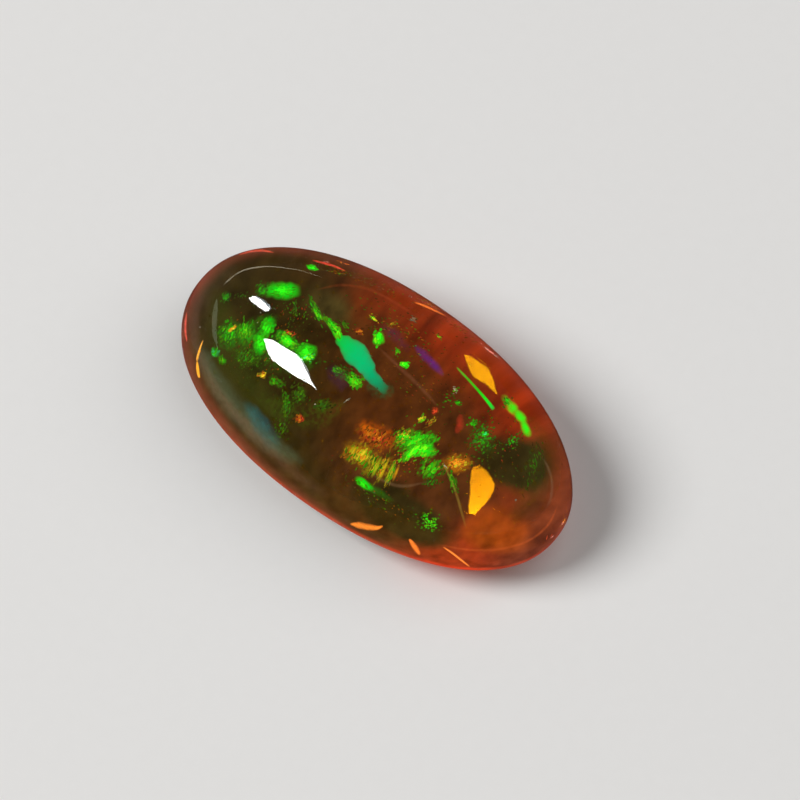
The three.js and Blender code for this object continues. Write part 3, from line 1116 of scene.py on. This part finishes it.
# %% Fire on the far side
BACK_VIEW = side_view(azimuth=217.7, elevation=20)
BACK_FIELD = [
    ((316, 408, 22, 8, 12), 90, 2.2, 1.8, 20, 0.22, 0.8, (ORANGE, RED, LIME)),
    ((352, 428, 14, 6, -10), 60, 2.2, 1.6, -10, 0.22, 0.8, (ORANGE, RED, YELLOW)),
    ((440, 412, 18, 7, -18), 80, 2.2, 1.8, -25, 0.2, 0.8, (RED, ORANGE, LIME)),
    ((400, 420, 60, 16, 0), 120, 1.7, 1.5, 0, 0.18, 0.9, (DEEP_GREEN, RED, ORANGE, LIME)),
]
grain_field("back_field_grains", BACK_FIELD, BACK_VIEW, seed=15)

# %% [markdown]
# ## The river and the streaks
#
# The blue-green river through the middle is the largest single patch, and a green streak runs into it from
# above. It is one smooth veil, deeper than the grains, and it ends in a haze. The needle, the streaks and the
# violet and blue patches are veils as well. A painted decal would stay on the surface, while a veil moves
# behind the polish as the stone is turned.

# %% The diagonal streak and the river
soft_patch(
    "diagonal_streak", depth=0.98, strength=0.75, broken=0.5, softness=1.2,
    colour=[
        (0.02, 0.3, 0.006), (0.03, 0.45, 0.006), (0.02, 0.25, 0.006), (0.04, 0.45, 0.006), BRIGHT, BRIGHT,
        BRIGHT,
    ],
    path=[
        (310, 298, 1.5, 0.4), (316, 308, 3, 0.7), (321, 316, 2, 0.5), (327, 320, 3, 0.6), (333, 327, 3.8),
        (338, 335, 4.4), (341, 341, 3),
    ],
)
soft_patch(
    "teal_river", depth=1.9, strength=0.85, broken=0.12, softness=0.55,
    colour=[
        (0.004, 0.6, 0.1), (0.001, 0.62, 0.2), (0.0, 0.6, 0.34), (0.0, 0.56, 0.38), (0.001, 0.44, 0.34),
        (0.002, 0.32, 0.26), (0.01, 0.2, 0.14),
    ],
    path=[
        (336, 338, 3, 0.9), (345, 344, 9), (355, 353, 12), (364, 364, 10), (372, 375, 7.5),
        (379, 384, 6, 0.9), (387, 391, 5, 0.5),
    ],
)
soft_patch(
    "river_haze", depth=2.0, strength=0.35, broken=0.8,
    colour=(0.02, 0.12, 0.07),
    path=[(366, 378, 8, 0.6), (378, 388, 12), (388, 392, 10, 0.8), (394, 394, 4, 0.4)],
)

# %% Violet and blue patches
soft_patch(
    "violet_streak", depth=0.8, strength=0.22, broken=0.3, softness=2,
    colour=(0.07, 0.012, 0.42),
    path=[(414, 345, 3, 0.4), (426, 357, 6), (436, 367, 5), (444, 376, 2, 0.4)],
)
soft_patch(
    "violet_haze", depth=0.9, strength=0.12, broken=0.5,
    colour=(0.05, 0.012, 0.12),
    path=[(380, 325, 5, 0.4), (392, 333, 7), (404, 345, 6, 0.7), (410, 352, 3, 0.3)],
)
soft_patch(
    "violet_spot", depth=1.0, strength=0.18, broken=0.4, softness=2,
    colour=(0.04, 0.012, 0.08),
    path=[(328, 366, 6), (338, 378, 12), (346, 390, 6)],
)
soft_patch(
    "blue_patch", depth=0.7, strength=0.24, broken=0.4, softness=1.6,
    colour=[
        (0.01, 0.12, 0.12), (0.006, 0.17, 0.24), (0.006, 0.17, 0.26), (0.008, 0.12, 0.15),
        (0.01, 0.08, 0.08),
    ],
    path=[(244, 400, 4, 0.5), (252, 413, 9), (262, 427, 11), (272, 442, 9, 0.9), (282, 454, 4, 0.4)],
)

# %% The needle, the low streak and a red patch
soft_patch(
    "needle", depth=0.8, strength=0.9, broken=0.2, softness=0.8,
    colour=[
        (0.1, 0.45, 0.03), (0.05, 0.4, 0.01), (0.01, 0.5, 0.008), (0.004, 0.7, 0.02), (0.004, 0.6, 0.06),
    ],
    path=[
        (456.5, 367, 1.0, 0.7), (467, 378, 1.3, 0.8), (478, 390, 1.5), (487, 400.5, 1.8), (494, 409.5, 2.2),
    ],
)
soft_patch(
    "low_streak", depth=1.0, strength=0.3, broken=0.4, softness=2,
    colour=(0.02, 0.25, 0.01),
    path=[(358, 480, 3, 0.5), (368, 486, 5), (380, 493, 5, 0.6), (394, 502, 3, 0.2)],
)
soft_patch(
    "red_patch", depth=1.0, strength=0.28, broken=0.5,
    colour=(0.7, 0.05, 0.03),
    path=[(461, 414, 3, 0.6), (460, 423, 5), (457, 434, 3, 0.6)],
)

# %% [markdown]
# ## Haze
#
# Clear opal is never quite clear: wide, weak clouds give it a milky olive and grey depth. They are the same
# veils, broad and hardly there, and each one alone can scarcely be seen. A scattering volume would do it too,
# but it takes many more samples to come out clean.

# %% Wide clouds
OLIVE = (0.035, 0.05, 0.006)
soft_patch(
    "field_haze_left", depth=1.25, strength=0.25, broken=0.9,
    colour=(0.02, 0.14, 0.006),
    path=[(212, 332, 8), (236, 340, 16), (258, 348, 22), (282, 354, 24), (304, 360, 16), (322, 362, 5)],
)
soft_patch(
    "left_haze", depth=1.0, strength=0.3, broken=0.3,
    colour=OLIVE,
    path=[(220, 288, 10), (222, 325, 18), (234, 364, 22), (262, 400, 18), (292, 420, 8)],
)
soft_patch(
    "low_haze", depth=1.4, strength=0.2, broken=0.9,
    colour=(0.05, 0.1, 0.006),
    path=[(258, 395, 8), (285, 410, 16), (318, 416, 16), (346, 402, 8)],
)

# %% Bands along the rim, a painted reflection and haze at the right end
soft_patch(
    "pale_band", depth=0.45, strength=0.26, broken=0.3, softness=1.5,
    colour=(0.08, 0.12, 0.07),
    path=[
        (200, 345, 6, 0.5), (208, 366, 10), (220, 388, 13), (236, 409, 14), (256, 430, 13), (280, 450, 11),
        (304, 464, 7, 0.5),
    ],
)
# A painted reflection: light from the left, thrown back at a slant along the left rim, as a glowing veil.
soft_patch(
    "painted_rim_reflection_left", depth=0.3, strength=0.09, broken=0.3, softness=2,
    colour=(0.3, 0.14, 0.1),
    path=[
        (234, 262, 3, 0.2), (214, 278, 6, 0.5), (199, 299, 8), (194, 329, 8), (201, 361, 8), (220, 396, 9),
        (244, 424, 9), (272, 452, 9, 0.8), (303, 480, 8, 0.5), (331, 498, 5, 0.2),
    ],
)
soft_patch(
    "inner_arc", depth=0.9, strength=0.07, broken=0.5, softness=2,
    colour=(0.5, 0.09, 0.03),
    path=[(316, 290, 1, 0.5), (340, 285, 2), (368, 289, 2), (396, 303, 2), (418, 318, 1, 0.5)],
)
soft_patch(
    "right_haze", depth=0.9, strength=0.12, broken=0.35,
    colour=OLIVE,
    path=[(528, 415, 6), (541, 446, 16), (540, 476, 20), (524, 506, 14), (508, 520, 4)],
)

# %% [markdown]
# ## Light at the girdle
#
# Where the dome turns over into the girdle, the lamps are seen as short orange flashes just inside the
# polish. The renderer could find them by itself only in a model of the whole room, so narrow veils put them
# where they are.

# %% Orange flashes
soft_patch(
    "girdle_light_low", depth=0.15, strength=0.75, broken=0.3,
    colour=(1.0, 0.26, 0.03),
    path=[(350, 524, 1), (358, 525, 3.5), (368, 527, 4), (377, 528, 2.5), (383, 526, 1)],
)
soft_patch(
    "girdle_light_slant", depth=0.15, strength=0.8, broken=0.3,
    colour=(1.0, 0.22, 0.03),
    path=[(409, 539, 1), (412, 543, 2.6), (416, 549, 3), (420, 555, 1.5)],
)
soft_patch(
    "girdle_light_line", depth=0.12, strength=0.8, broken=0.2,
    colour=(1.0, 0.25, 0.04),
    path=[(443, 547, 0.6), (452, 553, 1.2), (461, 560, 1.2), (470, 567, 0.8)],
)
soft_patch(
    "girdle_light_left", depth=0.12, strength=0.95, broken=0.1,
    colour=(1.0, 0.42, 0.03),
    path=[(197, 361, 0.8), (197.5, 368, 1.8), (198.5, 375, 1.6), (199.5, 378, 0.8)],
)
soft_patch(
    "girdle_light_upper", depth=0.12, strength=0.8, broken=0.1,
    colour=(1.0, 0.42, 0.06),
    path=[(203, 340, 0.5), (200, 348, 1.0), (197.5, 357, 1.4), (196.8, 361, 0.8)],
)

# %% [markdown]
# ## Thin lines
#
# The thin pale lines are healed cracks and the edges of layers in the opal. The two grey ones, a line and an
# arc, are painted reflections in the underside. All are the narrowest veils, and so faint that they are found
# only by looking for them.

# %% Healed cracks, layers and painted reflections
soft_patch(
    "pale_line", depth=0.9, strength=0.4, broken=0.3,
    colour=(0.36, 0.26, 0.05),
    path=[
        (442, 463, 1.2, 1.0), (447, 471, 1.2, 0.6), (455, 490, 1.8, 0.4), (461, 510, 1.8, 0.4),
        (466, 528, 1.2, 0.3),
    ],
)
# A painted reflection in the underside, drawn as a thin glowing line.
soft_patch(
    "painted_reflection_line", depth=0.8, strength=0.25, broken=0.3, softness=2,
    colour=(0.16, 0.06, 0.035),
    path=[(378, 347, 1.5, 0.3), (394, 362, 2.6), (412, 379, 3.0), (427, 394, 2.6), (438, 407, 1, 0.5)],
)
# A painted reflection in the underside, drawn as a thin glowing arc.
soft_patch(
    "painted_reflection_arc", depth=0.6, strength=0.22, broken=0.3, softness=2,
    colour=(0.16, 0.09, 0.05),
    path=[(370, 474, 1, 0.4), (391, 484, 2.4), (407, 486, 2.4), (430, 481, 1, 0.4)],
)
soft_patch(
    "end_arc", depth=0.3, strength=0.15, broken=0.3, softness=2,
    colour=(0.18, 0.1, 0.06),
    path=[(541, 456, 1, 0.3), (548, 467, 2), (552, 482, 2), (551, 498, 2), (546, 508, 1, 0.4)],
)

# %% [markdown]
# ## Red light along the rim
#
# Fainter and redder flashes follow the rim itself, where light has gone the longest way through the stone.

# %% Red flashes
soft_patch(
    "rim_line_end", depth=0.3, strength=0.1, broken=0.4,
    colour=(0.8, 0.14, 0.03),
    path=[(558, 505, 1), (548, 525, 1.6), (528, 541, 1.6), (500, 549, 1.6), (470, 550, 1.6), (440, 545, 1)],
)
soft_patch(
    "rim_flash_top", depth=0.08, strength=0.55, broken=0.5,
    colour=(0.85, 0.1, 0.05),
    path=[(238, 255, 0.8), (250, 251.5, 1.4), (262, 250.5, 1.4), (274, 252.5, 0.8)],
)
soft_patch(
    "rim_flash_upper", depth=0.08, strength=0.5, broken=0.5,
    colour=(0.8, 0.07, 0.04),
    path=[(312, 260, 0.8), (322, 262.5, 1.4), (334, 266, 1.4), (346, 271, 0.8)],
)
soft_patch(
    "rim_flash_far", depth=0.08, strength=0.5, broken=0.4,
    colour=(1.0, 0.22, 0.03),
    path=[(414, 302, 0.8), (424, 305.5, 1.5), (435, 310.5, 1.2), (446, 316, 0.6)],
)
soft_patch(
    "rim_flash_left", depth=0.08, strength=0.5, broken=0.5,
    colour=(0.9, 0.12, 0.08),
    path=[(186.5, 312, 0.6), (185.5, 322, 1.3), (185.5, 333, 1.3), (187, 342, 0.6)],
)

# %% [markdown]
# ## The paper
#
# The stone lies on plain pale paper, with a very fine air gap under its flat: a clear body that touched the
# paper would show it as if wet. Real paper is never one flat tone, so noise gives it fibres and some tooth.

# %% Paper
FLOOR_SIDE = 6.0
FLOOR_GAP = 0.02 * MM
PAPER_DARKEST = (0.74, 0.73, 0.71)
PAPER_PALEST = (0.86, 0.85, 0.83)
PAPER_TOOTH = 0.03 * MM
MATT = 0.9

deselect_all()
bpy.ops.mesh.primitive_plane_add(size=FLOOR_SIDE, location=(0, 0, -FLOOR_GAP))
floor = bpy.context.object
floor.name = "floor"
paper = Finish("pale_paper")
tone = maths(paper, "ADD", clouds(paper, paper.place(), scale=2600, detail=6, share=0.16), 0.5)
tooth = paper.add("ShaderNodeBump", Strength=0.35, Distance=PAPER_TOOTH, Height=tone)
paper.set_shader(
    Base_Color=mixed(paper, tone, PAPER_DARKEST, PAPER_PALEST), Roughness=MATT, Normal=tooth.outputs["Normal"]
)
floor.data.materials.append(paper.material)
floor.visible_glossy = False
floor.visible_transmission = False
print("paper", FLOOR_SIDE, "m wide")

# %% [markdown]
# ## What lies behind a clear stone
#
# A clear stone is as dark as what lies behind it, and on white paper it would look washed out. So a dark cloth
# takes the paper's place for light that comes through the stone or off it. Nothing else sees the cloth, and
# the paper stays pale.

# %% Dark backing
CLOTH_GREY = (0.06, 0.06, 0.062)

deselect_all()
bpy.ops.mesh.primitive_plane_add(size=FLOOR_SIDE, location=(0, 0, -FLOOR_GAP))
backing = bpy.context.object
backing.name = "dark_backing"
cloth = Finish("dark_cloth")
cloth.set_shader(Base_Color=CLOTH_GREY, Roughness=MATT)
backing.data.materials.append(cloth.material)
backing.visible_camera = False
backing.visible_diffuse = False
backing.visible_shadow = False
print("the cloth sends back", round(100 * CLOTH_GREY[0]), "% of the light")

# %% [markdown]
# ## The lamps and their pictures
#
# A polished stone shows its lamps as sharp pictures, so their shapes matter more than their power: one large
# window-like softbox and one narrow strip. Each is made from the outline that its picture has on the stone. At
# every corner of the outline the line of sight is mirrored by the polish, and where it then points is a corner
# of the lamp's panel. The same lamps are seen a second time inside the stone, thrown back by the rounded
# underside through nine millimetres of orange. The exact curve of a real underside is out of sight, so those
# pictures get panels of their own, which only refracted light sees. Each panel has a wider and dimmer halo
# just behind it, because a softbox fades out towards its border. A seam and a card are the long faint arcs near
# the dome's edge.

# %% From a picture back to its lamp
UNDERSIDE_FULLNESS = 2
KEY_MIDDLE = (290, 363)  # a pixel in the key's picture


def outward_at(spot):
    """The outward direction at a point of the body, by the curves that its rings follow."""
    over_girdle = spot.z > GIRDLE_HEIGHT
    height, fullness = (DOME_HEIGHT, DOME_FULLNESS) if over_girdle else (UNDERSIDE_DEPTH, UNDERSIDE_FULLNESS)
    x, y = abs(spot.x) / HALF_LENGTH, abs(spot.y) / HALF_WIDTH
    reach = (x**OUTLINE_FULLNESS + y**OUTLINE_FULLNESS) ** (1 / OUTLINE_FULLNESS)
    spread = reach ** (fullness - OUTLINE_FULLNESS)
    rise = abs(spot.z - GIRDLE_HEIGHT) / height
    direction = Vector((
        math.copysign(spread * x ** (OUTLINE_FULLNESS - 1) / HALF_LENGTH, spot.x),
        math.copysign(spread * y ** (OUTLINE_FULLNESS - 1) / HALF_WIDTH, spot.y),
        math.copysign(rise ** (fullness - 1) / height, spot.z - GIRDLE_HEIGHT),
    ))
    return direction.normalized()


def mirrored(ray, normal):
    """The direction of a ray after it has been thrown back by a surface."""
    return ray - normal * 2 * ray.dot(normal)


def seen_in_polish(pixel):
    """The direction whose light the polish throws to the eye at a pixel."""
    eye, ray = line_of_sight(pixel)
    _, entry, _, _ = stone.ray_cast(eye, ray)
    return mirrored(ray, outward_at(entry))


def seen_inside(pixel):
    """The direction whose light comes to the eye through the stone, thrown back once by its far wall."""
    eye, ray = line_of_sight(pixel)
    _, entry, _, _ = stone.ray_cast(eye, ray)
    inward = bend(ray, outward_at(entry), 1 / OPAL_IOR)
    _, wall, _, _ = stone.ray_cast(entry + inward * JUST_INSIDE, inward)
    onward = mirrored(inward, outward_at(wall))
    _, leaving, _, _ = stone.ray_cast(wall + onward * JUST_INSIDE, onward)
    return bend(onward, -outward_at(leaving), OPAL_IOR)


key_direction = seen_in_polish(KEY_MIDDLE)
print("the key's light comes from", round(math.degrees(math.asin(key_direction.z))), "degrees above the paper")

# %% Outlines of the pictures
# x and y of each corner's pixel, and how far the halo reaches beyond it where that isn't HALO_REACH
HALO_REACH = 0.8  # pixels
KEY_IN_POLISH = [
    (264.4, 338.9, 0.5), (272.8, 340.3, 0.5), (278.3, 343.7, 0.5), (289.4, 350.3, 0.6), (296.7, 354.8, 1.0),
    (301.1, 359.8, 1.6), (303.9, 365.3, 2.2), (307.2, 372, 2.0), (310.6, 379.8, 1.0), (315.5, 388, 4.0),
    (311, 384.6, 0.4), (302.8, 380.2, 0.5), (293.9, 374.6, 0.5), (282.8, 367.2, 0.5), (272.8, 359.8, 0.5),
    (268.9, 353.1, 0.5), (266.1, 345.3, 0.5),
]
STRIP_IN_POLISH = [
    (248.9, 299.2, 0.6), (252.8, 297, 0.8), (256.1, 297.6, 1.2), (261.7, 301.4, 2.2), (267.2, 305.9, 2.4),
    (269.7, 308.7, 2.4), (267.8, 311.4, 1.2), (264.4, 310.9, 1.0), (258.3, 306.4, 0.8), (251.7, 302, 0.6),
]
KEY_INSIDE = [
    (463.6, 355), (470.9, 357.7), (478.2, 363.2), (486.4, 368.6), (490, 375.9), (492.7, 384.1),
    (495.8, 394.5), (490, 388.6), (480.9, 381.4), (472.7, 376.8), (469.1, 370.5), (466.4, 364.1),
]
STRIP_INSIDE = [
    (472.7, 466.4), (478.2, 465.1), (482.7, 468.2), (488.2, 474.5), (492.7, 482.7), (491.8, 490.9),
    (486.4, 500), (479.1, 507.3), (473.6, 513.6), (468.2, 512.7), (467.3, 505.5), (469.1, 492.7),
    (468.7, 481.8), (470, 470.9),
]
print(len(KEY_IN_POLISH), "corners on the key,", len(STRIP_IN_POLISH), "on the strip")

# %% Arcs of the seam and the card
# The middle line of each arc, as x and y of a pixel and the half width there
SEAM_ARC = [
    (224.6, 284.5, 0.3), (232, 277.5, 0.6), (242, 271, 0.75), (255, 268, 0.65), (268.7, 267, 0.5),
    (282, 268, 0.4), (295.5, 269.8, 0.3), (309, 273.5, 0.2), (322, 278, 0.1),
]
CARD_ARC = [
    (217.3, 300, 0.8), (216, 310, 2.2), (215, 322, 2.6), (215.3, 335, 2.0), (217, 347, 1.2), (220, 357, 0.4),
]


def band_along(arc):
    """The outline of a narrow band, up one side of its middle line and down the other."""
    one_side, other_side = [], []
    for i, (x, y, half) in enumerate(arc):
        before, after = arc[max(i - 1, 0)], arc[min(i + 1, len(arc) - 1)]
        along = Vector((after[0] - before[0], after[1] - before[1])).normalized()
        one_side.append((x - along.y * half, y + along.x * half))
        other_side.append((x + along.y * half, y - along.x * half))
    return one_side + other_side[::-1]


def halo_round(outline):
    """The outline of a halo: each corner is pushed outwards by the reach that it gives, or by HALO_REACH."""
    points = [Vector(corner[:2]) for corner in outline]
    befores, afters = points[-1:] + points[:-1], points[1:] + points[:1]
    way_round = math.copysign(1, sum(a.cross(b) for a, b in zip(points, afters)))
    pushed = []
    for corner, before, point, after in zip(outline, befores, points, afters):
        reach = corner[2] if len(corner) > 2 else HALO_REACH
        along = (point - before).normalized() + (after - point).normalized()
        pushed.append(point + Vector((along.y, -along.x)).normalized() * way_round * reach)
    return pushed


print(len(SEAM_ARC), "points on the seam,", len(CARD_ARC), "on the card")

# %% Panels
PANEL_DISTANCE = 300 * MM
HALO_BEHIND = 1.03
GOLDEN = (1, 1.65, 0.04)  # before the stone takes most of the green
AMBER = (1, 1.2, 0.03)
PANELS = [  # name, outline of the picture, radiance, what shows it, colour
    ("key_in_polish", KEY_IN_POLISH, 60, "polish", WHITE),
    ("key_halo", KEY_IN_POLISH, 9, "polish", (0.9, 0.95, 1)),
    ("strip_in_polish", STRIP_IN_POLISH, 60, "polish", WHITE),
    ("strip_halo", STRIP_IN_POLISH, 7, "polish", (0.8, 0.9, 1)),
    ("seam_in_polish", band_along(SEAM_ARC), 3.2, "polish", (1, 0.93, 0.7)),
    ("card_in_polish", band_along(CARD_ARC), 1.3, "polish", (0.85, 0.95, 0.7)),
    ("key_inside", KEY_INSIDE, 47, "inside", GOLDEN),
    ("key_inside_halo", KEY_INSIDE, 15, "inside", GOLDEN),
    ("strip_inside", STRIP_INSIDE, 49, "inside", AMBER),
    ("strip_inside_halo", STRIP_INSIDE, 14, "inside", AMBER),
]


def lamp_panel(name, outline, radiance, shown_by, colour):
    """A glowing card in the sky of the stone, seen in its polish or inside it and by nothing else."""
    is_halo = "halo" in name
    trace = seen_in_polish if shown_by == "polish" else seen_inside
    middle = sum((trace(corner) for corner in outline), Vector()).normalized()
    directions = [trace(corner) for corner in (halo_round(outline) if is_halo else outline)]
    deselect_all()
    bpy.ops.mesh.primitive_circle_add(vertices=len(directions), radius=1, fill_type="NGON")
    panel = bpy.context.object
    panel.name = name
    distance = PANEL_DISTANCE * (HALO_BEHIND if is_halo else 1)
    for vertex, direction in zip(panel.data.vertices, directions):
        vertex.co = direction * distance / direction.dot(middle)
    card = Finish(name)
    only_shines(card, radiance)
    card.set_shader(Emission_Color=colour)
    panel.data.materials.append(card.material)
    panel.visible_camera = False
    panel.visible_diffuse = False
    panel.visible_shadow = False
    panel.visible_volume_scatter = False
    panel.visible_glossy = shown_by == "polish"
    panel.visible_transmission = shown_by == "inside"


for panel_row in PANELS:
    lamp_panel(*panel_row)
print(len(PANELS), "panels at", round(PANEL_DISTANCE / MM), "mm")

# %% [markdown]
# ## Soft light
#
# The panels are only seen, and light nothing. Two broad round lamps light the paper: a key from the front left
# that casts the soft shadow, and a fill from behind. The stone's polish doesn't show them, or there would be
# two more highlights. A dim grey sky keeps the shadow from going black.

# %% Soft lamps and sky
LAMP_DISTANCE = 0.5
SKY = (0.045, 0.045, 0.05)


def soft_lamp(name, azimuth, elevation, size, energy):
    """A broad lamp that lights the paper and is itself not seen in the stone."""
    away, _, _ = facing(azimuth, elevation)
    deselect_all()
    bpy.ops.object.light_add(type="AREA", location=away * LAMP_DISTANCE)
    lamp = bpy.context.object
    lamp.name = name
    lamp.rotation_euler = (-away).to_track_quat("-Z", "Y").to_euler()
    lamp.data.shape = "DISK"
    lamp.data.size = size
    lamp.data.energy = energy
    lamp.visible_glossy = False
    lamp.visible_transmission = False


soft_lamp("soft_key", azimuth=-50, elevation=50, size=0.25, energy=2.1)
soft_lamp("soft_fill", azimuth=130, elevation=60, size=0.6, energy=1.0)
world = bpy.data.worlds.new("studio")
bpy.context.scene.world = world
world.use_nodes = True
world.node_tree.nodes["Background"].inputs["Color"].default_value = (*SKY, 1)
print("two lamps", LAMP_DISTANCE, "m from the stone")

# %% [markdown]
# ## How far light is followed
#
# Light that has entered the stone may turn back at its walls many times before it leaves, so more turns than
# usual are followed. The renderer's limit on bright indirect light is lifted, because the pictures of the lamps
# inside the stone are just that. Caustics are left out: the underside's glow stands for them.

# %% Light paths
scene = bpy.context.scene
scene.view_settings.view_transform = "Standard"
scene.cycles.max_bounces = 24
scene.cycles.transmission_bounces = 20
scene.cycles.glossy_bounces = 12
scene.cycles.transparent_max_bounces = 32
scene.cycles.sample_clamp_indirect = 0
scene.cycles.caustics_reflective = False
scene.cycles.caustics_refractive = False
print("light is followed through", scene.cycles.max_bounces, "turns")
